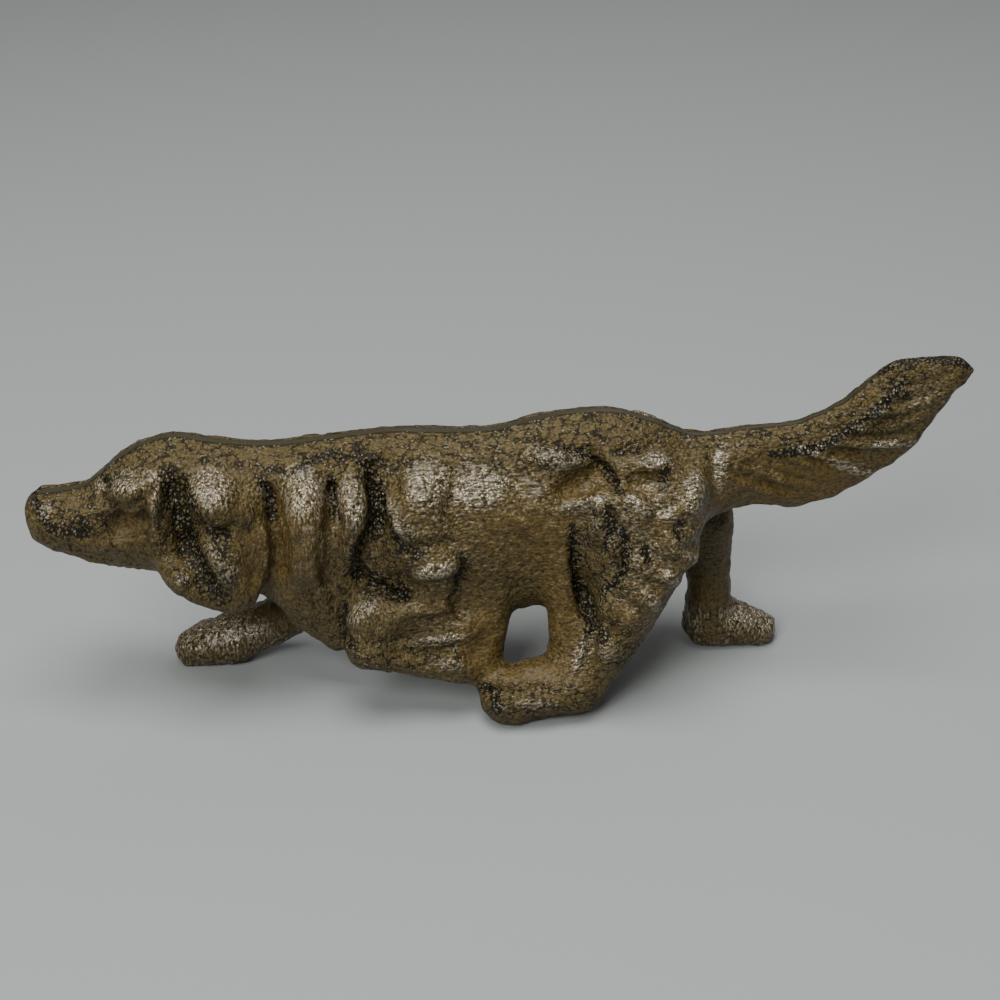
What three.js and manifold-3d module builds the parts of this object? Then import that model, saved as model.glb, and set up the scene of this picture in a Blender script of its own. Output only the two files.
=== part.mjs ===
// A setter stalking game with its head low and its tail out, cast in iron as one solid piece.
// It faces -X, its near (left) side faces -Y, and it stands on three paws: the near hind,
// the far fore and the far hind. The near foreleg is folded up clear of the ground.
import * as THREE from "three";
import { mergeVertices } from "three/addons/utils/BufferGeometryUtils.js";
import Module from "manifold-3d";

// Driving sizes, in millimetres.
const LENGTH = 180; // nose to the tip of the tail
const SEAT_DEPTH = 0.5; // how much of each paw is ground away to make it stand flat

// The figure is drawn in hundredths of its length, as a pattern maker scales it.
const UNIT = LENGTH / 100;
const CELL = [1.18, 2.2, 1.22]; // spacing of the skin's vertices along X, Y and Z
const LOW = [-53, -13.2, -4]; // the skin's grid clears the figure by a cell all round
const HIGH = [53, 13.2, 43];

// Head, trunk and tail are one long form: at each X, its top, its underside, its half width,
// and how much narrower it is below than above.
const TRUNK = [
  [-50.1, 25.6, 22.4, 1.9, 0.0],
  [-49.4, 26.4, 21.2, 2.8, 0.0],
  [-47.0, 26.8, 19.8, 3.3, 0.05],
  [-43.6, 27.6, 18.2, 4.0, 0.15],
  [-41.4, 29.3, 17.5, 4.6, 0.25],
  [-38.6, 31.5, 17.0, 5.3, 0.3],
  [-34.2, 32.9, 16.2, 5.9, 0.25],
  [-30.0, 32.2, 15.6, 6.1, 0.2],
  [-25.5, 31.6, 13.0, 6.5, 0.2],
  [-21.3, 31.7, 8.8, 6.9, 0.3],
  [-17.0, 32.3, 7.0, 7.2, 0.4],
  [-11.7, 32.7, 7.4, 7.4, 0.4],
  [-6.0, 32.5, 8.6, 7.4, 0.3],
  [0.0, 32.6, 10.2, 7.2, 0.15],
  [4.2, 33.7, 11.0, 7.2, 0.1],
  [12.2, 34.1, 12.0, 7.1, 0.1],
  [16.8, 32.6, 14.5, 6.6, 0.1],
  [19.8, 31.3, 17.8, 5.4, 0.1],
  [23.0, 31.2, 21.0, 3.8, 0.2],
  [27.5, 31.8, 21.8, 2.9, 0.4],
  [31.5, 32.3, 21.5, 2.6, 0.45],
  [35.4, 34.0, 21.9, 2.4, 0.45],
  [38.5, 36.6, 23.6, 2.3, 0.4],
  [40.7, 38.6, 24.9, 2.1, 0.4],
  [42.9, 39.5, 26.4, 1.9, 0.35],
  [45.2, 39.8, 29.2, 1.7, 0.25],
  [47.2, 39.7, 33.2, 1.5, 0.1],
  [48.9, 38.9, 35.8, 1.2, 0.0],
  [50.1, 37.9, 36.8, 0.8, 0.0],
];
const TRUNK_SQUARENESS = 2.25; // of the sections below their middles; 2 is an ellipse
const RIDGE_SQUARENESS = 1.75; // and above them, where they rise to a ridge along the back
const CORE = 0.2; // the share of a section, round its middle, that is all equally deep

// Masses that swell both flanks alike: centre, radii and lean in the side view, in degrees.
const MASSES = [
  { at: [-29.2, 5.2, 18.7], size: [4.1, 2.4, 4.8], lean: 22 }, // ear lobe
  { at: [-32.2, 4.5, 18.0], size: [3.9, 2.3, 2.6], lean: -36 }, // front corner of the ear lobe
  { at: [-29.3, 5.3, 22.4], size: [4.0, 2.1, 4.6], lean: -8 }, // ear
  { at: [-29.4, 4.9, 26.3], size: [4.2, 2.3, 2.6], lean: -15 }, // root of the ear
  { at: [-37.6, 3.9, 27.8], size: [2.7, 2.2, 1.9], lean: 20 }, // closed eye and brow
  { at: [-46.2, 0.8, 24.8], size: [3.2, 2.2, 1.3], lean: 4 }, // bridge of the nose
  { at: [-20.4, 4.9, 23.0], size: [2.8, 2.9, 5.8], lean: 0 }, // first fold of the neck
  { at: [-15.6, 4.9, 23.6], size: [2.3, 3.0, 5.4], lean: 0 }, // second fold of the neck
  { at: [-8.3, 5.0, 22.6], size: [4.4, 3.3, 6.6], lean: 12 }, // shoulder
  { at: [-0.5, 4.6, 22.0], size: [7.0, 3.0, 6.4], lean: 0 }, // ribs
  { at: [13.9, 4.6, 23.4], size: [7.2, 3.9, 7.6], lean: -10 }, // haunch
];

// Limbs are chains of rounded cones. Each point is a place and the radius there.
const LIMBS = [
  // Near foreleg, folded: upper arm, forearm and, turned back under it, the pastern and paw.
  [[-8.6, -4.8, 21.0, 3.6], [-6.0, -5.6, 16.2, 2.7], [-13.8, -6.3, 13.1, 2.3], [-14.7, -6.5, 10.0, 2.3]],
  [[-14.7, -6.5, 9.8, 2.4], [-9.7, -6.4, 8.2, 2.2], [-5.0, -6.3, 7.0, 2.4], [-3.2, -6.0, 6.5, 1.9]],
  // Web of iron between the forearm and the pastern.
  [[-11.4, -5.6, 10.8, 2.1], [-4.6, -5.4, 11.6, 2.4]],
  // Feathering behind the near elbow, which joins the belly to the two near paws.
  [[-1.2, -3.4, 17.5, 2.6], [-1.4, -4.4, 11.0, 2.1], [-2.3, -5.2, 5.6, 2.0]],
  // Near hind leg, swung forward: thigh, shank, hock and paw.
  [[15.6, -4.7, 20.4, 4.9], [13.0, -5.5, 13.4, 4.1], [9.9, -6.1, 6.8, 3.4], [7.6, -6.6, 4.0, 3.3]],
  [[7.6, -6.6, 4.0, 3.3], [3.6, -6.8, 3.5, 3.4], [0.6, -7.3, 3.1, 3.4]],
  // Front edge of the near shank, from the flank down to the instep.
  [[6.2, -4.4, 19.0, 2.2], [6.7, -5.2, 13.0, 1.9], [7.1, -5.8, 7.2, 2.2]],
  // Far foreleg, stretched forward on the ground.
  [[-9.0, 4.6, 19.5, 3.8], [-17.5, 5.2, 11.2, 3.2], [-26.0, 5.9, 4.9, 2.6], [-30.4, 5.9, 3.3, 2.5]],
  [[-30.4, 5.9, 3.0, 2.7], [-33.0, 5.9, 2.6, 2.8], [-35.0, 5.9, 1.9, 2.3]],
  // Far hind leg, stretched back on the ground.
  [[16.6, 4.4, 21.6, 5.0], [23.0, 4.9, 17.4, 3.8], [24.5, 5.2, 10.0, 2.5], [24.7, 5.5, 4.0, 2.6]],
  [[24.7, 5.5, 2.8, 2.7], [28.2, 5.5, 2.7, 2.6], [31.0, 5.4, 1.9, 2.1]],
  // Point of the breastbone, between the forelegs.
  [[-19.6, 0.0, 11.5, 4.0], [-17.8, -0.8, 8.4, 2.6]],
];
const LIMB_FILLET = 1.4;
const MASS_FILLET = 1.0;

// Carving on both flanks, as strokes of the modelling tool in the side view: the points that
// a stroke runs through, its half width, and how far it stands up (or, below zero, cuts in).
const STROKES = [
  // Head: the cheek, the edge of the jaw and the groove in front of the ear.
  { path: [[-40.4, 24.4], [-37.4, 24.8]], wide: 1.6, high: -0.9 },
  { path: [[-35.6, 27.6], [-36.0, 23.8], [-35.2, 20.0], [-32.8, 17.0]], wide: 0.9, high: 0.6 },
  { path: [[-33.4, 28.2], [-33.6, 24.6], [-32.6, 20.8], [-30.2, 17.6]], wide: 1.0, high: -0.8 },
  // Ear: the fold under its root and the crease behind it.
  { path: [[-32.0, 24.4], [-28.4, 23.8], [-26.0, 25.0]], wide: 0.9, high: -0.6 },
  { path: [[-23.9, 27.4], [-23.7, 25.0], [-24.0, 20.6], [-24.8, 15.6]], wide: 1.1, high: -1.1 },
  // Neck and shoulder: the creases between their folds.
  { path: [[-17.9, 28.4], [-17.7, 24.0], [-18.0, 19.0]], wide: 1.0, high: -0.6 },
  { path: [[-12.2, 30.0], [-13.2, 26.4], [-13.8, 22.4], [-14.6, 18.4]], wide: 1.1, high: -1.0 },
];

// Carving on the near flank alone, round the folded foreleg and the swung haunch.
const NEAR_STROKES = [
  { path: [[-12.6, 16.6], [-8.6, 17.8], [-4.6, 18.2], [-3.9, 14.4]], wide: 1.0, high: -0.6 },
  { path: [[-10.4, 11.0], [-5.4, 11.4]], wide: 1.2, high: -0.7 },
  { path: [[8.2, 25.6], [8.6, 20.0], [9.3, 13.6], [9.0, 9.4]], wide: 1.1, high: -0.6 },
];

// Carving on the haunch: the locks of the coat, as ridges with hollows between them.
const HAUNCH_STROKES = [
  { path: [[6.8, 28.4], [10.4, 28.8]], wide: 1.3, high: -0.7 },
  { path: [[13.2, 28.6], [16.4, 28.6]], wide: 1.2, high: -0.7 },
  { path: [[12.0, 27.4], [15.4, 25.0], [16.8, 22.4]], wide: 1.0, high: 0.6 },
  { path: [[20.0, 28.0], [18.8, 24.8], [16.8, 22.4]], wide: 1.1, high: 0.7 },
  { path: [[15.4, 22.6], [16.4, 20.0]], wide: 1.1, high: -0.7 },
  { path: [[17.4, 19.4], [20.2, 20.0]], wide: 1.0, high: 0.6 },
  { path: [[14.4, 15.4], [16.8, 16.6]], wide: 1.0, high: 0.5 },
];

// Feathering of the tail: grooves that fan from the bone of the tail to its lower edge.
const TAIL_STROKES = [
  { path: [[28.0, 26.6], [33.0, 25.2], [38.4, 24.6]], wide: 0.8, high: -0.35 },
  { path: [[32.4, 28.8], [37.6, 27.4], [43.4, 27.6]], wide: 0.8, high: -0.4 },
  { path: [[37.0, 31.8], [41.4, 30.8], [45.8, 31.6]], wide: 0.8, high: -0.35 },
];

const FAR_CARVING = [...STROKES, ...HAUNCH_STROKES, ...TAIL_STROKES];
const NEAR_CARVING = [...FAR_CARVING, ...NEAR_STROKES];
const SEAM_CLEAR = 1.6; // carving fades out over this distance from the mould's parting plane

const clamp = THREE.MathUtils.clamp;
const smoothstep = THREE.MathUtils.smoothstep;

// Reads the trunk's sections at any X, on smooth curves through the stations.
const trunkCurve = new THREE.CubicInterpolant(
  TRUNK.map((station) => station[0]),
  TRUNK.flatMap((station) => station.slice(1)),
  4,
);

function trunkField(x, y, z) {
  const [top, bottom, wide, keel] = trunkCurve.evaluate(clamp(x, TRUNK[0][0], TRUNK.at(-1)[0]));
  const middle = (top + bottom) / 2;
  const high = Math.max((top - bottom) / 2, 0.5);
  const rise = (z - middle) / high;
  const reach = wide * (1 - keel * clamp((1 - rise) / 2, 0, 1));
  const n = rise > 0 ? RIDGE_SQUARENESS : TRUNK_SQUARENESS;
  const across = Math.abs(y) / reach;
  const along = Math.abs(rise);
  const ring = Math.max(Math.pow(Math.pow(across, n) + Math.pow(along, n), 1 / n), CORE);
  const slope = Math.hypot(
    Math.pow(Math.max(across, CORE / 2) / ring, n - 1) / reach,
    Math.pow(Math.max(along, CORE / 2) / ring, n - 1) / high,
  );
  const past = Math.max(TRUNK[0][0] - x, x - TRUNK.at(-1)[0]);
  return Math.max((ring - 1) / slope, past);
}

function ellipsoidField(x, y, z, mass) {
  const turn = THREE.MathUtils.degToRad(mass.lean);
  const dx = x - mass.at[0];
  const dz = z - mass.at[2];
  const u = (dx * Math.cos(turn) + dz * Math.sin(turn)) / mass.size[0];
  const v = (Math.abs(y) - mass.at[1]) / mass.size[1];
  const w = (dz * Math.cos(turn) - dx * Math.sin(turn)) / mass.size[2];
  const ring = Math.hypot(u, v, w);
  const slope = Math.hypot(u / mass.size[0], v / mass.size[1], w / mass.size[2]);
  return slope < 1e-6 ? -Math.min(...mass.size) : (ring * (ring - 1)) / slope;
}

function limbField(x, y, z, chain) {
  let nearest = Infinity;
  for (let i = 1; i < chain.length; i++) {
    const [ax, ay, az, ar] = chain[i - 1];
    const [bx, by, bz, br] = chain[i];
    const span = [bx - ax, by - ay, bz - az];
    const square = span[0] ** 2 + span[1] ** 2 + span[2] ** 2;
    const share = clamp(((x - ax) * span[0] + (y - ay) * span[1] + (z - az) * span[2]) / square, 0, 1);
    const gap = Math.hypot(x - ax - span[0] * share, y - ay - span[1] * share, z - az - span[2] * share);
    nearest = Math.min(nearest, gap - ar - (br - ar) * share);
  }
  return nearest;
}

// Joins two fields with a fillet, as the founder's wax is filled where two forms meet.
function join(a, b, fillet) {
  const overlap = Math.max(fillet - Math.abs(a - b), 0) / fillet;
  return Math.min(a, b) - (overlap * overlap * fillet) / 4;
}

function strokeRelief(x, z, stroke) {
  let nearest = Infinity;
  for (let i = 1; i < stroke.path.length; i++) {
    const [ax, az] = stroke.path[i - 1];
    const [bx, bz] = stroke.path[i];
    const square = (bx - ax) ** 2 + (bz - az) ** 2;
    const share = clamp(((x - ax) * (bx - ax) + (z - az) * (bz - az)) / square, 0, 1);
    nearest = Math.min(nearest, Math.hypot(x - ax - (bx - ax) * share, z - az - (bz - az) * share));
  }
  return stroke.high * Math.exp(-((nearest / stroke.wide) ** 2));
}

function carvingRelief(x, y, z) {
  const strokes = y < 0 ? NEAR_CARVING : FAR_CARVING;
  const relief = strokes.reduce((sum, stroke) => sum + strokeRelief(x, z, stroke), 0);
  return relief * smoothstep(Math.abs(y), 0, SEAM_CLEAR);
}

function dogField(x, y, z) {
  let field = trunkField(x, y, z);
  for (const mass of MASSES) field = join(field, ellipsoidField(x, y, z, mass), MASS_FILLET);
  for (const chain of LIMBS) field = join(field, limbField(x, y, z, chain), LIMB_FILLET);
  return field - carvingRelief(x, y, z);
}

// Puts a point on the skin, in steps down the slope of the field.
const STEPS = 3;
const LONGEST_STEP = 0.4;
const PROBE = 0.05;
const LEAST_SLOPE = 0.5;

function seat(point) {
  for (let step = 0; step < STEPS; step++) {
    const [x, y, z] = point;
    const value = dogField(x, y, z);
    const slope = [
      (dogField(x + PROBE, y, z) - value) / PROBE,
      (dogField(x, y + PROBE, z) - value) / PROBE,
      (dogField(x, y, z + PROBE) - value) / PROBE,
    ];
    const steepness = Math.max(Math.hypot(...slope), LEAST_SLOPE);
    for (let n = 0; n < 3; n++)
      point[n] -= clamp((value * slope[n]) / steepness ** 2, -LONGEST_STEP, LONGEST_STEP);
  }
}

// The twelve edges of a cell of the skin's grid. A corner's number holds its steps along X,
// Y and Z as its three bits, and an edge runs from its lower corner to its upper one.
const EDGES = [0, 1, 2].flatMap((axis) =>
  [0, 1, 2, 3, 4, 5, 6, 7]
    .filter((corner) => !(corner & (1 << axis)))
    .map((corner) => ({ axis, ends: [corner, corner | (1 << axis)] })),
);

// Sorts the crossed edges of a cell into sheets, so that two parts of the skin which pass
// through one cell get a vertex each. The bits of code say which corners are in the iron.
function sheetsOf(code) {
  const within = (corner) => (code >> corner) & 1;
  const crossed = EDGES.filter(({ ends }) => within(ends[0]) !== within(ends[1]));
  let sheets = crossed.map((edge) => [edge]);
  const merge = (pair) => {
    const touched = sheets.filter((sheet) => sheet.some((edge) => pair.includes(edge)));
    sheets = [...sheets.filter((sheet) => !touched.includes(sheet)), touched.flat()];
  };
  for (const bit of [1, 2, 4])
    for (const side of [0, bit]) {
      const face = crossed.filter(({ ends }) => ends.every((corner) => (corner & bit) === side));
      if (face.length === 2) merge(face);
      if (face.length < 4) continue;
      for (const corner of new Set(face.flatMap(({ ends }) => ends)))
        if (within(corner)) merge(face.filter(({ ends }) => ends.includes(corner)));
    }
  return sheets;
}
const SHEETS = Array.from({ length: 256 }, (_, code) => sheetsOf(code));
const MOST_SHEETS = 4;

// Skins the field with quads. Each cell that the surface crosses holds a vertex for each of
// its sheets, and each grid edge that it crosses carries a quad between the cells round it.
function skin() {
  const count = CELL.map((size, n) => Math.ceil((HIGH[n] - LOW[n]) / size) + 1);
  const node = (at) => at[0] + count[0] * (at[1] + count[1] * at[2]);
  const place = (at) => at.map((step, n) => LOW[n] + step * CELL[n]);
  const grid = [];
  for (let k = 0; k < count[2]; k++)
    for (let j = 0; j < count[1]; j++) for (let i = 0; i < count[0]; i++) grid.push([i, j, k]);
  const values = grid.map((at) => dogField(...place(at)));

  const codes = new Map();
  const vertexOf = new Map();
  const points = [];
  for (const at of grid) {
    if (at.some((step, n) => step > count[n] - 2)) continue;
    const corner = (c) => [at[0] + (c & 1), at[1] + ((c >> 1) & 1), at[2] + (c >> 2)];
    const sample = [0, 1, 2, 3, 4, 5, 6, 7].map((c) => values[node(corner(c))]);
    const code = sample.reduce((sum, value, c) => sum + (value < 0 ? 1 << c : 0), 0);
    if (code === 0 || code === 255) continue;
    codes.set(node(at), code);
    SHEETS[code].forEach((sheet, s) => {
      const crossings = sheet.map(({ ends: [a, b] }) => {
        const share = sample[a] / (sample[a] - sample[b]);
        return place(corner(a).map((step, n) => step + (corner(b)[n] - step) * share));
      });
      vertexOf.set(MOST_SHEETS * node(at) + s, points.length);
      points.push([0, 1, 2].map((n) => crossings.reduce((sum, p) => sum + p[n], 0) / crossings.length));
    });
  }

  const vertexAt = (cell, axis, corner) => {
    const sheets = SHEETS[codes.get(node(cell))];
    const s = sheets.findIndex((sheet) => sheet.some((e) => e.axis === axis && e.ends[0] === corner));
    return vertexOf.get(MOST_SHEETS * node(cell) + s);
  };
  const quads = [];
  for (const at of grid)
    for (const axis of [0, 1, 2]) {
      const next = at.map((step, n) => step + (n === axis ? 1 : 0));
      if (next[axis] >= count[axis]) continue;
      const inside = values[node(at)] < 0;
      if (values[node(next)] < 0 === inside) continue;
      const [p, q] = [(axis + 1) % 3, (axis + 2) % 3];
      const ring = [[0, 0], [1, 0], [1, 1], [0, 1]].map(([s, t]) => {
        const cell = [...at];
        cell[p] -= s;
        cell[q] -= t;
        return vertexAt(cell, axis, (s << p) | (t << q));
      });
      quads.push(inside ? ring : ring.reverse());
    }
  return { points, quads };
}

// Evens out the vertices along the skin, and keeps them on it.
const EVENING_ROUNDS = 6;

function relax(points, quads) {
  const neighbours = points.map(() => new Set());
  for (const quad of quads)
    quad.forEach((a, n) => {
      neighbours[a].add(quad[(n + 1) % 4]);
      neighbours[quad[(n + 1) % 4]].add(a);
    });
  points.forEach(seat);
  for (let round = 0; round < EVENING_ROUNDS; round++) {
    const means = neighbours.map((near) =>
      [0, 1, 2].map((n) => [...near].reduce((sum, b) => sum + points[b][n], 0) / near.size),
    );
    points.forEach((point, a) => {
      for (let n = 0; n < 3; n++) point[n] = (point[n] + means[a][n]) / 2;
      seat(point);
    });
  }
}

// Splits each quad along the diagonal that lies closer to the skin.
function trianglesOf(points, quads) {
  const offSkin = (a, b) => Math.abs(dogField(...points[a].map((value, n) => (value + points[b][n]) / 2)));
  return quads.flatMap(([a, b, c, d]) => (offSkin(a, c) < offSkin(b, d) ? [a, b, c, a, c, d] : [a, b, d, b, c, d]));
}

const wasm = await Module();
wasm.setup();

function solidFrom(positions, indices) {
  const vertProperties = new Float32Array(positions);
  const triVerts = new Uint32Array(indices);
  return new wasm.Manifold(new wasm.Mesh({ numProp: 3, vertProperties, triVerts }));
}

// A block whose top is the plane that the paws are ground down to.
function grindstone() {
  const block = new THREE.BoxGeometry(2 * LENGTH, LENGTH, LENGTH);
  block.deleteAttribute("normal").deleteAttribute("uv");
  block.translate(0, 0, SEAT_DEPTH - LENGTH / 2);
  const welded = mergeVertices(block);
  return solidFrom(welded.attributes.position.array, welded.index.array);
}

// Grinds the paws flat, and sets the dog down with the middle of its box over the origin.
function standOnPaws(positions, indices) {
  const mesh = solidFrom(positions, indices).subtract(grindstone()).getMesh();
  const geometry = new THREE.BufferGeometry();
  geometry.setAttribute("position", new THREE.BufferAttribute(new Float32Array(mesh.vertProperties), 3));
  geometry.setIndex(new THREE.BufferAttribute(new Uint32Array(mesh.triVerts), 1));
  geometry.computeBoundingBox();
  const middle = geometry.boundingBox.getCenter(new THREE.Vector3());
  geometry.translate(-middle.x, -middle.y, -SEAT_DEPTH);
  geometry.computeVertexNormals();
  return geometry;
}

const { points, quads } = skin();
relax(points, quads);

const positions = points.flatMap((point) => point.map((value) => value * UNIT));
const paintedIron = new THREE.MeshStandardMaterial({ color: 0x5b4a2f, roughness: 0.45, metalness: 0.1 });
const dog = new THREE.Mesh(standOnPaws(positions, trianglesOf(points, quads)), paintedIron);
dog.name = "dog";

const statue = new THREE.Group();
statue.add(dog);
export default statue;
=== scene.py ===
import math

import bmesh
import bpy
import numpy as np
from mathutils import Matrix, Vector


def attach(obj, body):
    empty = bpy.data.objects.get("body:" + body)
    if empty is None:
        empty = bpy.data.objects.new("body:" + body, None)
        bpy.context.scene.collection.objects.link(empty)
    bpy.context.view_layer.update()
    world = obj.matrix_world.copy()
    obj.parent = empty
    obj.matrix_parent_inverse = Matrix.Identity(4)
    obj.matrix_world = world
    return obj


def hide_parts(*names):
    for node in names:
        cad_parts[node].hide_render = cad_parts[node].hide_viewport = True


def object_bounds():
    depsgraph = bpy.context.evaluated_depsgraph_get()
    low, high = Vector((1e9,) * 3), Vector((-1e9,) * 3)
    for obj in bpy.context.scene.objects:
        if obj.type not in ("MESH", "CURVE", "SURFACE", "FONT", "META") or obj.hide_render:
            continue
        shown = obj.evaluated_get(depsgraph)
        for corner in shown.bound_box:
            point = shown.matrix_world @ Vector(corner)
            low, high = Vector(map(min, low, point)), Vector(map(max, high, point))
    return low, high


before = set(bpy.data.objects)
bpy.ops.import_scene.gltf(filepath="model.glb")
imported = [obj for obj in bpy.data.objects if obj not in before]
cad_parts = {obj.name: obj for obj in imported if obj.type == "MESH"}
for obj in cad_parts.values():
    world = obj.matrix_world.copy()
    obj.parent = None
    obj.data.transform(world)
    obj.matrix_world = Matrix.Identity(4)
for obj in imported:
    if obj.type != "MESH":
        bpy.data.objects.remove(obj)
cad_low, cad_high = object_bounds()


# The view: the dog from its near side and a little above, its head nearer than its tail.
# The carver's drawing below is made in this view, in points of a picture 1000 wide.
VIEW_SIZE = 1000
VIEW_LENS = 61.45
VIEW_FILM = 36.0
VIEW_DISTANCE = 0.330
VIEW_RISE = math.radians(30.0)
VIEW_TURN = math.radians(-4.0)
view_target = np.array([0.0, 0.0, 0.0425])
view_back = np.array([
    math.sin(VIEW_TURN) * math.cos(VIEW_RISE),
    -math.cos(VIEW_TURN) * math.cos(VIEW_RISE),
    math.sin(VIEW_RISE),
])
view_right = np.array([math.cos(VIEW_TURN), math.sin(VIEW_TURN), 0.0])
view_up = np.cross(view_back, view_right)

camera_data = bpy.data.cameras.new("camera")
camera_data.lens = VIEW_LENS
camera_data.sensor_width = VIEW_FILM
camera_data.clip_start = 0.01
camera_data.clip_end = 20.0
camera = bpy.data.objects.new("camera", camera_data)
camera.location = Vector(view_target + VIEW_DISTANCE * view_back)
camera.rotation_mode = "QUATERNION"
camera.rotation_quaternion = Vector(-view_back).to_track_quat("-Z", "Y")
bpy.context.scene.collection.objects.link(camera)
bpy.context.scene.camera = camera


# The dog: one casting in iron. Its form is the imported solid, evened out and then carved
# as the pattern was, with the folds of the neck, the locks of the haunch and the feathering.
GRAIN = 0.00055       # spacing of the carved surface's points
SOLE_HEIGHT = 0.00008  # what lies lower than this is a sole, ground flat
EVENING = 34          # rounds that take the facets off the solid
EASING = 0.6          # how far a point moves towards its neighbours in a round
STEP_BACK = 0.62      # and how far it moves back, so that the form doesn't shrink

casting_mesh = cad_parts["dog"].data.copy()
casting_mesh.materials.clear()
casting = bpy.data.objects.new("setter", casting_mesh)
bpy.context.scene.collection.objects.link(casting)

work = bmesh.new()
work.from_mesh(casting_mesh)
bmesh.ops.remove_doubles(work, verts=work.verts, dist=2e-6)
work.to_mesh(casting_mesh)
work.free()

even = casting.modifiers.new("even", "REMESH")
even.mode = "VOXEL"
even.voxel_size = GRAIN
bpy.context.view_layer.update()
evened = bpy.data.meshes.new_from_object(
    casting.evaluated_get(bpy.context.evaluated_depsgraph_get()))
casting.modifiers.clear()
casting.data = evened
bpy.data.meshes.remove(casting_mesh)

count = len(evened.vertices)
place = np.zeros(count * 3)
evened.vertices.foreach_get("co", place)
place = place.reshape(-1, 3)
pairs = np.zeros(len(evened.edges) * 2, int)
evened.edges.foreach_get("vertices", pairs)
pairs = pairs.reshape(-1, 2)


def mean_of_neighbours(values, pairs):
    """The mean of the points that each point shares an edge with."""
    number = len(values)
    total = np.zeros_like(values)
    for one, other in ((0, 1), (1, 0)):
        for column in range(values.shape[1]):
            across_edges = values[pairs[:, other], column]
            total[:, column] += np.bincount(pairs[:, one], across_edges, number)
    return total / np.bincount(pairs.ravel(), minlength=number)[:, None]


def smoothed(values, rounds):
    for _ in range(rounds):
        values = values + EASING * (mean_of_neighbours(values, pairs) - values)
    return values


def evened_out(values, pairs, rounds, step_back):
    """Takes small bumps out of a form, and gives back what each round would shrink it by."""
    for _ in range(rounds):
        values = values + EASING * (mean_of_neighbours(values, pairs) - values)
        values = values - step_back * (mean_of_neighbours(values, pairs) - values)
    return values


def normals_at(points):
    evened.vertices.foreach_set("co", points.ravel())
    evened.update()
    found = np.zeros(count * 3)
    evened.vertex_normals.foreach_get("vector", found)
    return found.reshape(-1, 3)


soles = place[:, 2] < SOLE_HEIGHT
place = evened_out(place, pairs, EVENING, STEP_BACK)

# The tail is thin for the solid's facets, so it is evened out more, on its own, and blended
# into the rump.
TAIL_ROOT = 0.036     # where the tail leaves the rump, along X
TAIL_BLEND = 0.006    # the length over which the rump turns into the tail
TAIL_EVENING = 5 * EVENING
TAIL_STEP_BACK = 0.61
tail = np.flatnonzero(place[:, 0] > TAIL_ROOT)
place_in_tail = np.full(count, -1)
place_in_tail[tail] = np.arange(len(tail))
tail_pairs = place_in_tail[pairs]
tail_pairs = tail_pairs[tail_pairs.min(axis=1) >= 0]
evener = evened_out(place[tail], tail_pairs, TAIL_EVENING, TAIL_STEP_BACK)
share = np.clip((evener[:, :1] - TAIL_ROOT) / TAIL_BLEND - 0.4, 0, 1)
place[tail] += share * (evener - place[tail])
normal = normals_at(place)

# Both flanks are carved from one drawing: the far flank is the near one mirrored.
side = np.where(place[:, 1] < 0, 1.0, -1.0)
flank = place * np.stack([np.ones(count), side, np.ones(count)], 1)
flank[:, 1] = -np.abs(place[:, 1])
out = normal.copy()
out[:, 1] = normal[:, 1] * side
offset = flank - view_target
depth = VIEW_DISTANCE - offset @ view_back
focal = VIEW_SIZE * VIEW_LENS / VIEW_FILM
u = VIEW_SIZE / 2 + focal * (offset @ view_right) / depth
v = VIEW_SIZE / 2 - focal * (offset @ view_up) / depth
facing = out @ view_back


def smoothstep(low, high, values):
    share = np.clip((values - low) / (high - low), 0, 1)
    return share * share * (3 - 2 * share)


# Whether a point is on the near flank, on the far legs, turned towards the view, and clear of
# the mould's parting line.
near = place[:, 1] < 0
far_legs = smoothstep(0.004, 0.007, place[:, 1]) * (1 - smoothstep(0.016, 0.030, place[:, 2]))
outward = smoothstep(0.02, 0.28, facing)
off_seam = smoothstep(0.0008, 0.0026, np.abs(place[:, 1]))


def distance_to(path):
    """How far each point is from a drawn line, in points of the picture, and how far along."""
    nearest = np.full(count, np.inf)
    along = np.zeros(count)
    run = 0.0
    total = sum(math.dist(a, b) for a, b in zip(path, path[1:]))
    for (ax, ay), (bx, by) in zip(path, path[1:]):
        length = math.dist((ax, ay), (bx, by))
        share = np.clip(((u - ax) * (bx - ax) + (v - ay) * (by - ay)) / length ** 2, 0, 1)
        gap = np.hypot(u - ax - share * (bx - ax), v - ay - share * (by - ay))
        closer = gap < nearest
        nearest = np.where(closer, gap, nearest)
        along = np.where(closer, (run + share * length) / total, along)
        run += length
    return nearest, along


def stroke(path, width, height, tapered=True):
    """A stroke of the tool: a groove where height is below zero, a ridge where it is above."""
    gap, along = distance_to(path)
    ends = np.sqrt(np.clip(np.minimum(along, 1 - along) * 4, 0, 1)) if tapered else 1.0
    return height * np.exp(-(gap / width) ** 2) * ends


def in_oval(middle, radii, lean):
    """Where each point is in a leaning oval, whose edge is 1 away from its middle."""
    turn = math.radians(lean)
    du, dv = u - middle[0], v - middle[1]
    across = (du * math.cos(turn) + dv * math.sin(turn)) / radii[0]
    down = (dv * math.cos(turn) - du * math.sin(turn)) / radii[1]
    return across, down


def mound(middle, radii, lean, height):
    """A rounded boss, or a hollow where height is below zero."""
    across, down = in_oval(middle, radii, lean)
    return height * np.exp(-(across ** 2 + down ** 2) ** 1.5)


MM = 0.001            # a millimetre, in the frame's metres
FAR_CARVING = 0.8     # how high the far flank's carving is beside the near one's

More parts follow.
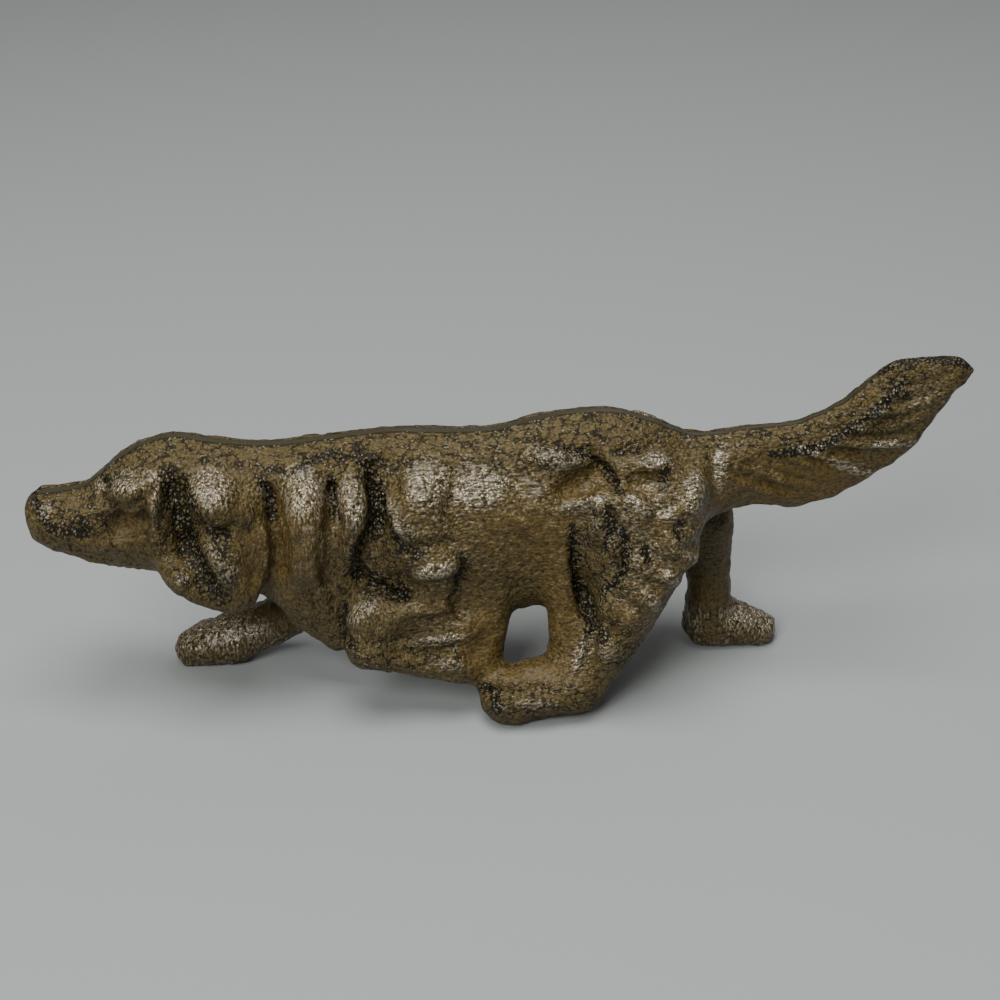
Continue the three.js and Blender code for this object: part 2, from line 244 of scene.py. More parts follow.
# Bosses and hollows: middle, radii, lean in degrees, and height in millimetres.
bosses = [
    ((125, 489), (18, 13), -12, 1.2),    # closed eye
    ((153, 479), (15, 7), 12, 0.7),      # end of the brow
    ((128, 525), (22, 14), -20, -1.8),   # cheek
    ((104, 496), (7, 12), 20, -0.8),     # corner of the eye
    ((42, 512), (9, 17), -22, 0.5),      # nose
    ((58, 498), (20, 7), -10, 0.5),
    ((84, 536), (17, 9), 25, -0.8),      # lip
    ((212, 493), (25, 24), 0, 1.5),      # root of the ear
    ((184, 580), (8, 7), 0, 0.7),
    ((253, 566), (12, 34), -6, -0.9),    # hollow back edge of the ear
    ((303, 500), (23, 38), 0, 1.4),      # first fold of the neck
    ((352, 502), (14, 34), -8, 1.4),     # second fold of the neck
    ((427, 484), (31, 32), 10, 1.4),     # shoulder
    ((406, 530), (18, 9), 55, 1.2),      # lock behind the shoulder
    ((440, 568), (26, 9), -14, 1.6),     # lock on the elbow
    ((476, 484), (32, 26), 0, 1.0),      # ribs
    ((520, 480), (14, 22), 0, -0.7),
    ((520, 562), (34, 32), 0, -1.5),     # hollow of the belly
    ((364, 613), (24, 14), -38, 1.4),    # wrist
    ((432, 604), (30, 11), -8, -1.6),    # hollow of the forearm
    ((436, 640), (30, 6), -7, 1.0),      # pastern
    ((450, 664), (16, 8), 0, 0.9),       # folded paw
    ((553, 456), (30, 11), 8, 1.3),      # flank
    ((583, 484), (23, 13), -22, -2.2),   # first hollow of the haunch
    ((643, 482), (20, 12), 16, -2.1),    # second hollow of the haunch
    ((657, 461), (17, 11), 20, 1.4),     # hip
    ((640, 505), (22, 8), 36, 1.2),      # ridge under the second hollow
    ((694, 494), (9, 24), 12, 1.4),      # rear lock of the haunch
    ((670, 516), (14, 9), -30, 1.2),
    ((680, 532), (7, 8), 0, -1.2),       # pit
    ((657, 533), (12, 14), 10, -0.9),
    ((687, 557), (13, 7), 22, 0.9),      # tufts down the rear edge
    ((670, 577), (11, 7), 35, 0.9),
    ((651, 599), (13, 8), 40, 0.9),
    ((630, 622), (9, 8), 40, 0.9),
    ((606, 651), (13, 11), 40, 1.3),     # hock
    ((593, 568), (8, 10), 0, 0.9),
    ((612, 550), (9, 14), 0, 0.9),
    ((536, 703), (22, 6), 4, 1.0),       # instep
    ((500, 705), (9, 8), 0, 0.8),        # toe
    ((494, 692), (9, 7), 20, -0.9),
    ((750, 660), (16, 8), 24, 0.8),      # toes of the far hind paw
    ((728, 672), (8, 12), 0, -0.5),
    ((232, 684), (26, 12), -10, 0.7),    # back of the far forepaw
]

# Creases and ridges: the line drawn, its width, and its height in millimetres.
creases = [
    ([(44, 492), (72, 488), (102, 474)], 4, -0.5),              # along the bridge of the nose
    ([(56, 542), (84, 556), (118, 562)], 4, -0.9),              # mouth
    ([(62, 508), (56, 522)], 4, -0.7),                          # nostril
    ([(108, 480), (122, 470), (142, 468), (160, 474)], 4, 0.5),  # brow
    ([(106, 502), (126, 508), (146, 500), (156, 490)], 4, -1.1),  # lower lid
    ([(150, 486), (152, 512), (153, 534), (157, 556), (166, 576), (184, 595)],
     5, 1.0),                                                   # edge of the jaw
    ([(143, 492), (143, 524), (147, 552)], 4, -0.8),
    ([(170, 474), (174, 500), (181, 526), (190, 552), (204, 576), (217, 592)], 11, -1.8),
    ([(186, 508), (200, 528), (222, 537), (242, 520)], 6, -1.5),  # under the root of the ear
    ([(205, 542), (215, 562), (232, 586)], 8, 1.4),             # ear lobe
    ([(260, 520), (266, 550), (264, 580), (256, 600)], 4, 0.9),  # back edge of the ear
    ([(259, 480), (271, 494), (273, 524), (277, 548), (275, 576)], 5, -2.0),
    ([(284, 480), (283, 510), (290, 540)], 4, -0.5),
    ([(331, 480), (333, 506), (339, 530)], 5, -1.9),
    ([(368, 462), (376, 488), (379, 516), (370, 544), (354, 570)], 8, -2.0),
    ([(388, 494), (398, 520), (414, 540)], 6, 1.2),
    ([(400, 456), (396, 480), (404, 502)], 5, -0.8),
    ([(458, 462), (454, 490), (440, 518)], 6, -0.9),
    ([(350, 560), (356, 578), (376, 588), (402, 596), (430, 588)], 6, -1.8),
    ([(384, 556), (404, 570), (394, 590)], 5, -1.1),
    ([(400, 552), (428, 546), (456, 544)], 5, -0.8),
    ([(462, 556), (463, 584), (457, 606), (464, 622)], 6, -1.6),
    ([(348, 600), (344, 622), (350, 646)], 4, -0.9),
    ([(392, 626), (430, 622), (466, 618)], 5, -1.1),
    ([(394, 650), (424, 653), (452, 652)], 4, -0.7),
    ([(478, 694), (496, 690), (520, 692), (548, 688)], 5, -0.8),
    ([(536, 436), (560, 446), (584, 450)], 4, -1.1),            # lower edge of the rump's plate
    ([(612, 452), (638, 450), (662, 444)], 4, -1.2),
    ([(580, 450), (594, 456), (607, 476), (622, 492)], 7, -2.7),  # black notch
    ([(562, 508), (582, 500), (600, 494), (616, 498)], 5, 1.2),
    ([(590, 498), (604, 510), (602, 524), (588, 538)], 5, 1.4),   # hooked lock
    ([(574, 526), (576, 552), (580, 580), (586, 606), (592, 630), (590, 656), (574, 684)], 6, -1.9),
    ([(584, 620), (584, 650), (574, 676)], 4, 0.9),
    ([(610, 506), (617, 528), (606, 542)], 4, -1.2),
    ([(622, 528), (627, 552), (621, 576), (606, 596)], 5, -1.4),
    ([(584, 546), (594, 554), (604, 546), (614, 566), (604, 582)], 4, -0.9),
    ([(704, 478), (707, 505), (694, 530), (676, 546)], 5, 1.1),
    ([(648, 496), (659, 512), (653, 528)], 4, -1.1),
    ([(642, 550), (658, 560), (676, 567)], 5, -1.1),
    ([(628, 572), (646, 584), (662, 590)], 5, -1.1),
    ([(612, 594), (628, 604), (642, 612)], 5, -0.9),
    ([(604, 616), (612, 632), (628, 642)], 5, -0.9),
    ([(711, 440), (716, 470), (718, 500)], 5, -0.8),            # root of the tail
    ([(762, 652), (768, 660), (772, 674)], 3.5, -0.8),          # toes of the far paws
    ([(742, 656), (750, 672), (754, 688)], 3.5, -0.7),
    ([(200, 684), (205, 698), (194, 716)], 3.5, -0.9),
]

# Feathering: each lock is one shallow groove. The tail's fan out below its bone; the throat's,
# the belly's and the near legs' hang back from their front edges.
feathering = [
    ([(722, 470), (760, 482), (796, 494)], 3.4, -0.85),
    ([(740, 462), (784, 476), (830, 488)], 3.4, -0.85),
    ([(760, 456), (806, 470), (856, 474)], 3.4, -0.94),
    ([(786, 452), (830, 464), (880, 464)], 3.4, -0.94),
    ([(812, 446), (856, 452), (902, 450)], 3.4, -1),
    ([(836, 436), (880, 438), (918, 430)], 3.4, -1),
    ([(856, 422), (894, 420), (930, 408)], 3.4, -0.94),
    ([(874, 406), (908, 402), (942, 388)], 3.4, -0.85),
    ([(892, 388), (926, 384), (958, 370)], 3.4, -0.77),
    ([(730, 480), (770, 492), (800, 502)], 3.0, 0.59),
    ([(752, 468), (800, 484), (842, 490)], 3.0, 0.68),
    ([(774, 460), (820, 472), (870, 472)], 3.0, 0.68),
    ([(800, 454), (846, 462), (894, 458)], 3.0, 0.77),
    ([(826, 444), (870, 448), (912, 440)], 3.0, 0.77),
    ([(848, 430), (888, 430), (926, 418)], 3.0, 0.77),
    ([(866, 414), (902, 412), (938, 398)], 3.0, 0.68),
    ([(862, 441), (890, 444), (912, 441), (924, 434)], 3.4, 1.1),
    ([(846, 450), (872, 460), (900, 460)], 3.6, -1.1),
    ([(826, 456), (846, 466), (870, 471)], 3.4, 1.0),
    ([(752, 467), (772, 474), (792, 484)], 3.2, 0.7),
    ([(784, 460), (822, 452), (858, 430), (884, 408), (908, 384)], 5.0, 0.7),
    ([(284, 556), (290, 590), (306, 614)], 3.6, -0.5),
    ([(300, 546), (306, 584), (322, 618)], 3.6, -0.5),
    ([(318, 542), (324, 576), (338, 612)], 3.6, -0.5),
    ([(292, 552), (298, 586), (314, 616)], 3.2, 0.3),
    ([(310, 544), (316, 580), (330, 614)], 3.2, 0.3),
    ([(226, 546), (236, 570), (242, 596)], 3.2, -0.4),
    ([(470, 520), (500, 540), (520, 566)], 4.0, -0.4),
    ([(486, 512), (518, 530), (538, 556)], 4.0, -0.4),
    ([(500, 506), (534, 520), (556, 546)], 4.0, -0.4),
    ([(470, 560), (476, 590), (484, 620)], 4.0, -0.4),
    ([(484, 560), (490, 590), (494, 616)], 3.6, -0.35),
    ([(548, 560), (556, 600), (556, 640)], 4.0, -0.3),
]

relief = np.zeros(count)
for middle, radii, lean, height in bosses:
    relief += mound(middle, radii, lean, height)
for path, width, height in creases + feathering:
    relief += stroke(path, width, height)

# The folded foreleg and the swung hind leg are on the near side alone.
between_legs = smoothstep(270, 290, u) * (1 - smoothstep(690, 710, u)) * smoothstep(515, 560, v)
drawn_here = np.where(near, 1.0, 1 - between_legs * (1 - smoothstep(635, 645, v))) * outward
relief *= drawn_here * off_seam * np.where(near, 1.0, FAR_CARVING)
place += normal * (smoothed(relief[:, None], 1) * MM)
normal = normals_at(place)


def patch(middle, radii, lean, edge=0.55):
    """A patch of the finish or of painted sheen, 1 inside an oval and 0 outside it, with a soft
    edge.
    """
    return 1 - smoothstep(1 - edge, 1 + edge, np.hypot(*in_oval(middle, radii, lean)))


def patches(ovals, strength=1.0):
    """Patches of one strength. A fourth value in an oval is its own edge."""
    best = np.zeros(count)
    for oval in ovals:
        best = np.maximum(best, patch(*oval))
    return best * strength


def paint_lines(lines):
    """Lines of the finish or of painted shade, each with its width, 1 in their middles and 0 past
    their edges.
    """
    best = np.zeros(count)
    for path, width in lines:
        gap, _ = distance_to(path)
        best = np.maximum(best, 1 - smoothstep(0, width * 1.5, gap))
    return best


# The depth of the carved hollows, which darkens them below as painted shade.
hollow = smoothed(np.clip(-relief, 0, 1)[:, None], 2)[:, 0]

# Where the brown coat has flaked off the black one in a net of cracks.
crackled = patches([
    ((330, 452), (230, 19), 2),
    ((598, 434), (76, 20), 0),
    ((480, 446), (60, 22), 0),
    ((780, 432), (110, 13), -4),
    ((890, 392), (60, 15), -36),
    ((150, 456), (60, 20), -14),
    ((74, 508), (40, 26), 10),
    ((300, 450), (70, 24), 0),
    ((350, 456), (44, 24), 0),
    ((600, 562), (28, 46), 0),
    ((196, 548), (30, 50), -24),
    ((386, 560), (26, 46), 10),
    ((400, 654), (60, 16), 0),
    ((530, 700), (60, 16), 0),
    ((614, 640), (26, 20), 40),
]) * drawn_here

# Where the black coat shows: in the creases, and along the crest of the tail's tip. The deeper
# carved hollows and the lines under the rump's plates are darkened as painted shade.
black_coat_and_shade = np.maximum(
    paint_lines([
        ([(168, 470), (174, 500), (182, 526), (190, 552), (206, 578), (222, 596)], 10),
        ([(184, 480), (194, 512), (206, 530), (226, 538)], 7),
        ([(106, 478), (112, 486)], 5),
        ([(62, 532), (84, 534), (82, 520)], 7),
        ([(34, 494), (40, 512), (52, 530)], 5),
        ([(258, 474), (271, 492), (273, 520)], 5),
        ([(331, 478), (334, 506), (338, 520)], 6),
        ([(306, 462), (330, 455), (372, 460)], 6),
        ([(356, 448), (366, 462), (376, 486), (380, 510)], 8),
        ([(376, 500), (374, 530), (356, 548), (358, 572), (386, 588), (402, 594)], 9),
        ([(392, 520), (402, 548), (420, 556)], 6),
        ([(346, 604), (344, 624), (352, 646)], 5),
        ([(462, 552), (463, 578), (458, 600)], 4),
        # These two run under the rump's plates: painted shade there, and the black coat in the
        # notch.
        ([(560, 447), (582, 452), (596, 458), (607, 476), (622, 492)], 6),
        ([(616, 452), (640, 450)], 3),
        ([(664, 472), (666, 488)], 5),
        ([(572, 530), (575, 552), (578, 584), (586, 608), (590, 630)], 6),
        ([(608, 508), (612, 530), (606, 546)], 5),
        ([(620, 530), (626, 552), (620, 576), (604, 592)], 5),
        ([(644, 548), (648, 562)], 4),
        ([(680, 524), (680, 538)], 5),
        ([(484, 686), (496, 698), (500, 704)], 7),
        ([(600, 632), (606, 640)], 6),
        ([(772, 456), (808, 449), (829, 443), (861, 422), (882, 405), (906, 379)], 5),
        ([(850, 394), (872, 380), (890, 366)], 2),
        ([(36, 490), (56, 486), (80, 482)], 4),
    ]),
    # Painted shade: the deeper carved hollows are darkened.
    smoothstep(0.7, 1.8, hollow) * 0.45,
) * drawn_here
gap, _ = distance_to([(884, 366), (900, 358), (924, 355), (950, 357), (976, 363)])
black_coat_and_shade = np.maximum(black_coat_and_shade, 1 - smoothstep(5, 11, gap))

# Where the coat is worn thin over the bosses, with painted highlights on them and a fainter painted
# sheen around them.
FAINT_PAINTED_SHEEN = 0.45
THIGH_PAINTED_SHEEN = 0.65
wear_and_sheen = patches([
    ((126, 484), (21, 13), -12),
    ((152, 478), (16, 7), 14),
    ((156, 500), (5, 20), 0),
    ((46, 512), (8, 15), -24),
    ((100, 484), (6, 10), 30),
    ((212, 490), (24, 22), 0),
    ((221, 564), (13, 27), -26),
    ((184, 579), (9, 7), 0),
    ((264, 490), (7, 16), -14),
    ((303, 492), (22, 32), 0),
    ((352, 500), (13, 32), -8),
    ((388, 504), (9, 34), -22),
    ((406, 530), (18, 10), 45),
    ((427, 482), (28, 30), 10),
    ((438, 568), (26, 10), -12),
    ((480, 486), (36, 26), 0),
    ((552, 456), (36, 13), 8),
    ((364, 610), (24, 11), -38),
    ((436, 640), (32, 7), -8),
    ((450, 664), (16, 8), 0),
    ((657, 461), (19, 11), 20),
    ((640, 504), (26, 9), 38),
    ((692, 492), (10, 24), 12),
    ((668, 514), (12, 11), -20),
    ((582, 504), (30, 7), -14),
    ((597, 518), (7, 16), 0),
    ((687, 556), (12, 6), 20),
    ((670, 577), (10, 8), 30),
    ((651, 599), (14, 8), 40),
    ((606, 650), (12, 10), 0),
    ((580, 656), (7, 28), 20),
    ((536, 703), (24, 6), 0),
    ((500, 705), (8, 7), 0),
    ((720, 470), (10, 24), 0),
    ((812, 448), (26, 6), -10),
    ((884, 404), (34, 7), -44),
    ((890, 443), (30, 5), 0),
    ((850, 467), (28, 6), 18),
])
# A fainter painted sheen over the neck, shoulder, flank and tail.
wear_and_sheen = np.maximum(wear_and_sheen, patches([
    ((500, 474), (90, 40), 0, 0.9),
    ((300, 520), (60, 60), 0, 0.9),
    ((420, 560), (80, 90), 0, 0.9),
    ((730, 444), (18, 12), 0, 0.8),
    ((770, 474), (18, 4), 22, 0.8),
    ((920, 400), (30, 14), -40, 0.8),
], FAINT_PAINTED_SHEEN))
# A broad painted sheen lightens the thigh.
wear_and_sheen = np.maximum(wear_and_sheen, patches([((640, 540), (60, 90), 24, 0.9)], THIGH_PAINTED_SHEEN))
wear_and_sheen *= drawn_here
# The far paws get a painted sheen, stronger where they face upwards, as if lit from above.
paws = far_legs * (1 - smoothstep(0.009, 0.014, place[:, 2]))
wear_and_sheen = np.maximum(wear_and_sheen, paws * (0.65 + 0.35 * smoothstep(-0.2, 0.5, normal[:, 2])))

# Where the coat is whole, smooth and more golden: the columns and hollows.
golden = patches([
    ((560, 590), (20, 70), 0),
    ((482, 640), (26, 50), 0),
    ((520, 540), (46, 36), 0),
    ((580, 486), (22, 14), -28),
    ((640, 482), (20, 14), 20),
    ((255, 566), (14, 32), 0),
    ((436, 604), (30, 14), -8),
    ((134, 526), (18, 10), -20),
    ((286, 540), (40, 50), 0),
    ((614, 553), (8, 10), 0),
    ((590, 567), (7, 7), 0),
    ((660, 530), (14, 14), 0),
    ((800, 482), (80, 24), -6),
    ((536, 676), (36, 14), 0),
    ((716, 520), (16, 50), 0),
    ((620, 620), (12, 16), 30),
    ((868, 396), (6, 16), 38),
    ((190, 704), (7, 18), 16),
]) * drawn_here
golden = np.maximum(golden, far_legs * smoothstep(0.009, 0.014, place[:, 2]))


# The skin left by the sand mould: lumps, the combed hair of the coat, and the mould's grains,
# which are coarser on the far legs. The flash of the parting line was ground to a smooth strip.
def lumps(size, seed):
    """Soft lumps, of a size along X, Y and Z in millimetres, between -1 and 1."""
    table = np.random.default_rng(seed).uniform(-1, 1, (32, 32, 32))
    spot = place / (np.array(size) * MM)
    base = np.floor(spot).astype(int)
    share = smoothstep(0, 1, spot - base)
    total = np.zeros(count)
    for corner in range(8):
        step = np.array([corner & 1, corner >> 1 & 1, corner >> 2])
        cell = (base + step) % 32
        weight = np.prod(np.where(step, share, 1 - share), axis=1)
        total += weight * table[cell[:, 0], cell[:, 1], cell[:, 2]]
    return total


SEAM = 0.0006         # how far the mould's parting line sits towards the far side
STRIP_EDGE = (0.0010, 0.0015)  # how far from that line the ground strip begins and ends to fade
HAIR, LUMP, GRIT, FLASH = 0.18, 0.16, 0.08, 0.10  # heights in millimetres

# The hair hangs on the head and neck, and lies level along the trunk and tail.
level = smoothstep(370, 430, u) * (1 - far_legs)
strip = 1 - smoothstep(*STRIP_EDGE, np.abs(place[:, 1] - SEAM))
strip *= smoothstep(0.3, 0.7, np.hypot(normal[:, 0], normal[:, 2]))
combed = lumps((0.9, 0.9, 2.6), 1) * (1 - level) + lumps((2.2, 0.9, 1.1), 2) * level
sand = np.random.default_rng(7).normal(size=count)
skin = combed * HAIR * (1 - far_legs) * (1 - 0.7 * crackled) + lumps((2.6, 2.6, 2.6), 3) * LUMP
skin += lumps((1.2, 1.2, 1.2), 4) * (GRIT + 0.22 * far_legs + 0.24 * black_coat_and_shade) + sand * 0.02
place += normal * (skin * (1 - 0.9 * strip) * MM)[:, None]
place += normal * (FLASH * strip * (1 - smoothstep(0.035, 0.045, place[:, 0])) * MM)[:, None]
place[soles, 2] = 0.0
place[:, 2] = np.maximum(place[:, 2], 0.0)
place = np.clip(place, np.array(cad_low), np.array(cad_high))
evened.vertices.foreach_set("co", place.ravel())
evened.update()
evened.shade_smooth()

# What the finish, with its painted sheen and shade, reads at each point.
for name, values in (("crackled", crackled), ("black_coat_and_shade", black_coat_and_shade), ("wear_and_sheen", wear_and_sheen),
                     ("golden", golden), ("strip", strip), ("level", level)):
    layer = evened.attributes.new(name, "FLOAT", "POINT")
    layer.data.foreach_set("value", np.clip(values, 0, 1).astype(np.float32))


class Wire:
    """A shader value that can be used in ordinary sums."""

    def __init__(self, tree, socket):
        self.tree = tree
        self.socket = socket

    def _sum(self, operation, *inputs):
        sockets = dict(enumerate(inputs))
        return node(self.tree, "ShaderNodeMath", {"operation": operation}, sockets)[0]

    def __add__(self, other):
        return self._sum("ADD", self, other)

    def __radd__(self, other):
        return self._sum("ADD", other, self)

    def __sub__(self, other):
        return self._sum("SUBTRACT", self, other)

    def __rsub__(self, other):
        return self._sum("SUBTRACT", other, self)

    def __mul__(self, other):
        return self._sum("MULTIPLY", self, other)

    def __rmul__(self, other):
        return self._sum("MULTIPLY", other, self)

    def clamped(self):
        return self._sum("MAXIMUM", self._sum("MINIMUM", self, 1.0), 0.0)

    def size(self):
        return self._sum("ABSOLUTE", self)

    def over(self, other):
        return self._sum("MAXIMUM", self, other)

    def ramp(self, low, high):
        """0 below low, 1 above high, and smooth between."""
        return node(self.tree, "ShaderNodeMapRange", {"interpolation_type": "SMOOTHSTEP"},
                    {"Value": self, "From Min": low, "From Max": high})[0]


def node(tree, kind, settings=None, values=None):
    """Adds a node, sets it up, then fills its sockets. Gives its outputs as wires."""
    made = tree.nodes.new(kind)
    for key, value in (settings or {}).items():
        setattr(made, key, value)
    for key, value in (values or {}).items():
        socket = made.inputs[key]
        if isinstance(value, Wire):
            tree.links.new(value.socket, socket)
        else:
            socket.default_value = value
    return [Wire(tree, output) for output in made.outputs]


def mixed(tree, share, first, second):
    return node(tree, "ShaderNodeMix", {"data_type": "RGBA"}, {0: share, 6: first, 7: second})[2]


def attribute(tree, name):
    return node(tree, "ShaderNodeAttribute", {"attribute_name": name})[2]


def noise(tree, where, scale, detail=3.0, roughness=0.55):
    return node(tree, "ShaderNodeTexNoise", None,
                {"Vector": where, "Scale": scale, "Detail": detail, "Roughness": roughness})[0]


# The finish: a thin black coat on the iron, a brown one over it, and a satin varnish. Age has
# cracked the brown coat along the back and worn it on the bosses; the glints of the grains there
# are painted highlights.
OLIVE_BROWN = (0.095, 0.069, 0.023, 1.0)
GOLDEN_BROWN = (0.105, 0.070, 0.020, 1.0)
VALLEY_SHADE_BROWN = (0.018, 0.012, 0.004, 1.0)
BLACK_COAT = (0.0095, 0.0070, 0.0025, 1.0)
WORN_AND_GLINTING_BLACK = (0.17, 0.165, 0.125, 1.0)
GROUND_STRIP = (0.030, 0.029, 0.020, 1.0)
WORN_IRON_AND_GLINT = (0.46, 0.415, 0.33, 1.0)

finish = bpy.data.materials.new("worn_brown_paint")
finish.use_nodes = True
tree = finish.node_tree
tree.nodes.clear()
coordinates = node(tree, "ShaderNodeTexCoord")[3]
crackled_here = attribute(tree, "crackled")
black_coat_and_shade_here = attribute(tree, "black_coat_and_shade")
wear_and_sheen_here = attribute(tree, "wear_and_sheen")
golden_here = attribute(tree, "golden")
strip_here = attribute(tree, "strip")
level_here = attribute(tree, "level")


def drawn_out(x, y, z):
    """The dog's own coordinates, drawn out into strands along the axis with the least number."""
    return node(tree, "ShaderNodeVectorMath", {"operation": "MULTIPLY"},
                {0: coordinates, 1: (x, y, z)})[0]


# How many of each there are to the metre.
PEBBLES, HAIRS = 1450.0, 2300.0
FINE, MEDIUM, WIDE = 2600.0, 620.0, 150.0
CRACKS, SMALL_CRACKS, WANDERINGS = 520.0, 1050.0, 800.0

pebble = node(tree, "ShaderNodeTexVoronoi", {"feature": "F1"},
              {"Vector": coordinates, "Scale": PEBBLES})[0]
fine = noise(tree, coordinates, FINE)
medium = noise(tree, coordinates, MEDIUM)
wide = noise(tree, coordinates, WIDE)
upright_hair = noise(tree, drawn_out(1.0, 1.0, 0.30), HAIRS, 2.0)
level_hair = noise(tree, drawn_out(0.42, 1.0, 0.9), HAIRS, 2.0)
hair = upright_hair * (1 - level_here) + level_hair * level_here

WANDER = 0.0017       # how far the cracks stray from straight lines
stray = node(tree, "ShaderNodeTexNoise", None,
             {"Vector": coordinates, "Scale": WANDERINGS, "Detail": 2.0})[1]
wander = node(tree, "ShaderNodeVectorMath", {"operation": "SCALE"}, {0: stray, "Scale": WANDER})[0]
crazed = node(tree, "ShaderNodeVectorMath", {"operation": "ADD"},
              {0: drawn_out(0.7, 1.0, 1.0), 1: wander})[0]
crack = node(tree, "ShaderNodeTexVoronoi", {"feature": "DISTANCE_TO_EDGE"},
             {"Vector": crazed, "Scale": CRACKS})[0]
small_crack = node(tree, "ShaderNodeTexVoronoi", {"feature": "DISTANCE_TO_EDGE"},
                   {"Vector": crazed, "Scale": SMALL_CRACKS})[0]

# The ground strip along the parting line, and the dark lines at its edges.
GROUND_EDGE = (0.00070, 0.00085)
EDGE_LINE = 0.00098
EDGE_LINE_WIDTH = (0.00008, 0.00024)
along, across, _ = node(tree, "ShaderNodeSeparateXYZ", None, {0: coordinates})
on_tail = along.ramp(0.030, 0.045)
from_seam = (across - SEAM + (medium - 0.5) * 0.0005).size() * (1 + on_tail * 0.5)
ground = strip_here.ramp(0.3, 0.6) * (1 - from_seam.ramp(*GROUND_EDGE))
ground = ground * (1 - black_coat_and_shade_here.ramp(0.3, 0.6))
seam_line = (from_seam - EDGE_LINE).size().ramp(*EDGE_LINE_WIDTH)
seam_line = strip_here.ramp(0.1, 0.3) * (1 - seam_line)

# Where the black coat is bare: the cracks and flakes of the brown one, pits, specks and the lines.
# The pits are also darker between the grains, as painted shade.
crack_lines = (1 - crack.ramp(0.02, 0.12)) * (0.45 + 0.55 * medium.ramp(0.42, 0.52))
crack_lines = crack_lines.over((1 - small_crack.ramp(0.03, 0.14)) * medium.ramp(0.49, 0.56) * 0.7)
crack_lines = crack_lines * crackled_here.ramp(0.05, 0.5)
flakes = (medium * 0.7 + fine * 0.3).ramp(0.60, 0.63) * crackled_here.ramp(0.1, 0.6) * 0.9
pits = black_coat_and_shade_here * 0.90 + (pebble - 0.5) * 1.7 + (medium - 0.5) * 0.9 + (fine - 0.5) * 0.6
pits = pits.ramp(0.48, 0.62) * black_coat_and_shade_here.ramp(0.02, 0.25)
specks = (fine * 0.6 + pebble * 0.4).ramp(0.62, 0.67)
specks = specks * (1 - crackled_here) * (0.5 - golden_here * 0.5)
bare_black = crack_lines.over(flakes).over(pits).over(specks) * (1 - ground)
bare_black = bare_black.over(seam_line * 0.9).clamped()

# The brown coat, with painted shade darkening the valleys of the grain, and worn on its crests,
# where painted glints lighten it.
brown = mixed(tree, (golden_here * 0.9 + (wide - 0.5) * 0.8).clamped(), OLIVE_BROWN, GOLDEN_BROWN)
painted_valley_shade = pebble.ramp(0.40, 0.85) * 0.5 + (0.5 - hair).ramp(-0.02, 0.10) * 0.50
painted_valley_shade = painted_valley_shade + (0.5 - medium).ramp(0.0, 0.2) * 0.3
painted_valley_shade = painted_valley_shade.clamped() * (1 - golden_here * 0.2) * (1 - crackled_here * 0.5)
brown = mixed(tree, painted_valley_shade, brown, VALLEY_SHADE_BROWN)
# Painted glints: the colour is lightened towards worn iron on the crests of the grain, mostly on
# the bosses.
glint_and_wear = wear_and_sheen_here * 0.40 + (hair - 0.5) * 1.9 + (fine - 0.5) * 0.7 + (wide - 0.5) * 0.5
glint_and_wear = glint_and_wear.ramp(0.28, 0.52) * (0.4 + 0.6 * wear_and_sheen_here) * (1 - crackled_here * 0.4)
coat = mixed(tree, glint_and_wear * 0.58, brown, WORN_IRON_AND_GLINT)
# Painted glints on the grains' crests in the black coat, along with specks where it is worn.
worn_and_glinting_black = hair * 0.7 + fine * 0.5 + (0.5 - pebble) * 0.4 + wear_and_sheen_here * 0.06
black = mixed(tree, worn_and_glinting_black.ramp(0.68, 0.78), BLACK_COAT, WORN_AND_GLINTING_BLACK)
colour = mixed(tree, bare_black, coat, black)
colour = mixed(tree, ground * 0.85, colour, GROUND_STRIP)

# The finest grain, too small for the carved surface's points.
GRAIN_DEPTH = 0.00042
height = (1 - pebble) * (0.5 + 0.5 * black_coat_and_shade_here + 0.3 * wear_and_sheen_here)
height = height + fine * 0.3 + medium * 0.4 + hair * 0.8
height = height * (1 - golden_here * 0.3) * (1 - ground * 0.85) - bare_black * 0.25
bump = node(tree, "ShaderNodeBump", None,
            {"Strength": 1.0, "Distance": GRAIN_DEPTH, "Height": height})[0]

surface_roughness = 0.46 - glint_and_wear * 0.22 + bare_black * (0.30 - black_coat_and_shade_here * 0.45)
surface_roughness = surface_roughness + (medium - 0.5) * 0.16
surface = node(tree, "ShaderNodeBsdfPrincipled", None, {
    "Base Color": colour,
    "Roughness": surface_roughness.clamped(),
    "Metallic": glint_and_wear * 0.6,
    "Specular IOR Level": 0.24,
    "Coat Weight": (0.04 + wear_and_sheen_here * 0.22 + ground * 0.1 - crackled_here * 0.2).clamped(),
    "Coat Roughness": 0.20,
    "Normal": bump,
})[0]
node(tree, "ShaderNodeOutputMaterial", None, {"Surface": surface})

evened.materials.append(finish)
casting.data.name = "setter"
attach(casting, "root")
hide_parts("dog")


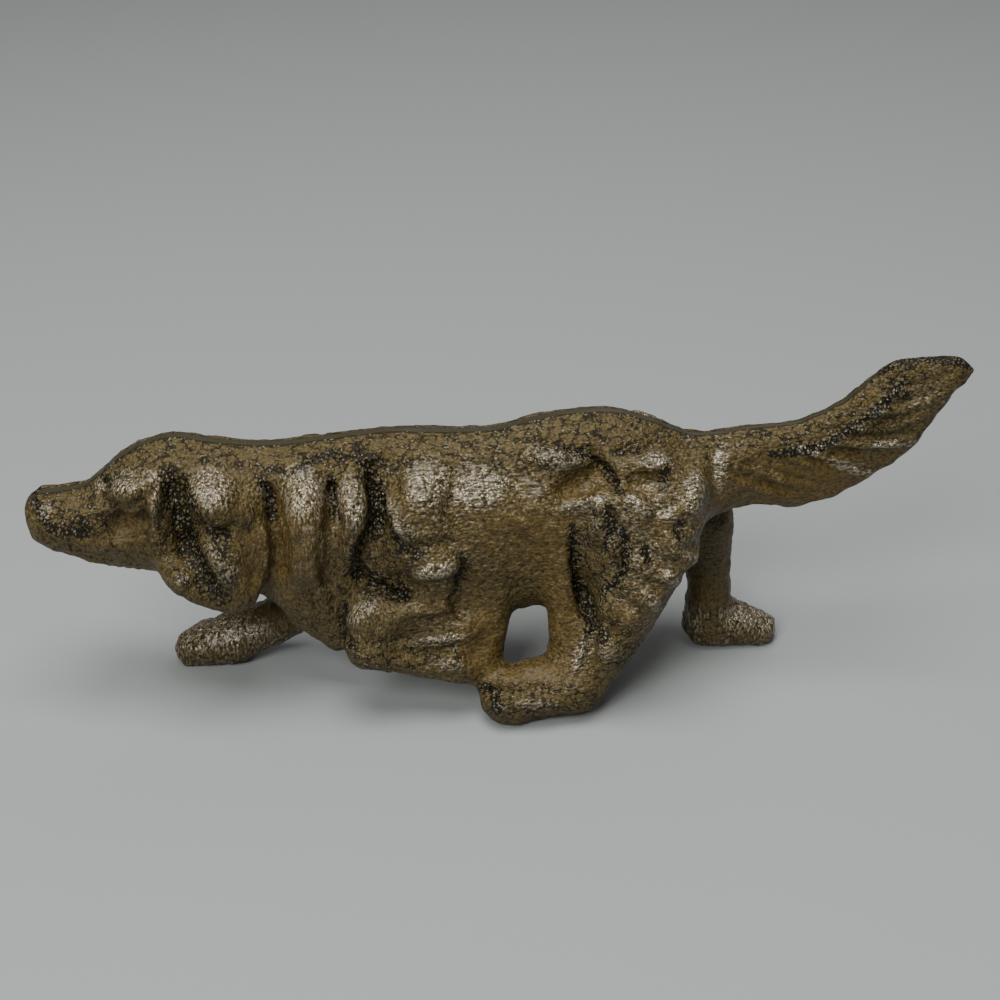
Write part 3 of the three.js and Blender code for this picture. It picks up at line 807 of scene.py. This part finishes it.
# The floor: a plain pale sheet, and the soft studio light over it.
FLOOR_GREY = (0.285, 0.305, 0.315, 1.0)
FLOOR_SIZE = 3.0      # from its middle to its edges
floor_material = bpy.data.materials.new("pale_floor")
floor_material.use_nodes = True
floor_shader = floor_material.node_tree.nodes["Principled BSDF"]
floor_shader.inputs["Base Color"].default_value = FLOOR_GREY
floor_shader.inputs["Roughness"].default_value = 0.9

sheet = bmesh.new()
bmesh.ops.create_grid(sheet, x_segments=1, y_segments=1, size=FLOOR_SIZE)
floor_mesh = bpy.data.meshes.new("floor")
sheet.to_mesh(floor_mesh)
sheet.free()
floor_mesh.materials.append(floor_material)
floor = bpy.data.objects.new("floor", floor_mesh)
bpy.context.scene.collection.objects.link(floor)


def softbox(name, azimuth, elevation, distance, size, power, tint):
    """A square lamp that faces the dog."""
    lamp = bpy.data.lights.new(name, "AREA")
    lamp.shape = "SQUARE"
    lamp.size = size
    lamp.energy = power
    lamp.color = tint
    holder = bpy.data.objects.new(name, lamp)
    turn, rise = math.radians(azimuth), math.radians(elevation)
    level_back = math.cos(rise)
    back = Vector((math.sin(turn) * level_back, -math.cos(turn) * level_back, math.sin(rise)))
    holder.location = back * distance
    holder.rotation_mode = "QUATERNION"
    holder.rotation_quaternion = (-back).to_track_quat("-Z", "Y")
    bpy.context.scene.collection.objects.link(holder)


WARM_LIGHT = (1.0, 0.98, 0.93)
BACK_LIGHT = (1.0, 0.98, 0.94)
softbox("overhead", -20, 79, 0.9, 0.50, 9.4, WARM_LIGHT)
softbox("front", -28, 41, 1.1, 0.40, 8.8, WARM_LIGHT)
softbox("back", 150, 45, 1.2, 0.9, 2.2, BACK_LIGHT)

ROOM_LIGHT = (0.84, 0.82, 0.75, 1.0)
ROOM_STRENGTH = 0.11
world = bpy.data.worlds.new("room")
bpy.context.scene.world = world
world.use_nodes = True
background = world.node_tree.nodes["Background"]
background.inputs["Color"].default_value = ROOM_LIGHT
background.inputs["Strength"].default_value = ROOM_STRENGTH
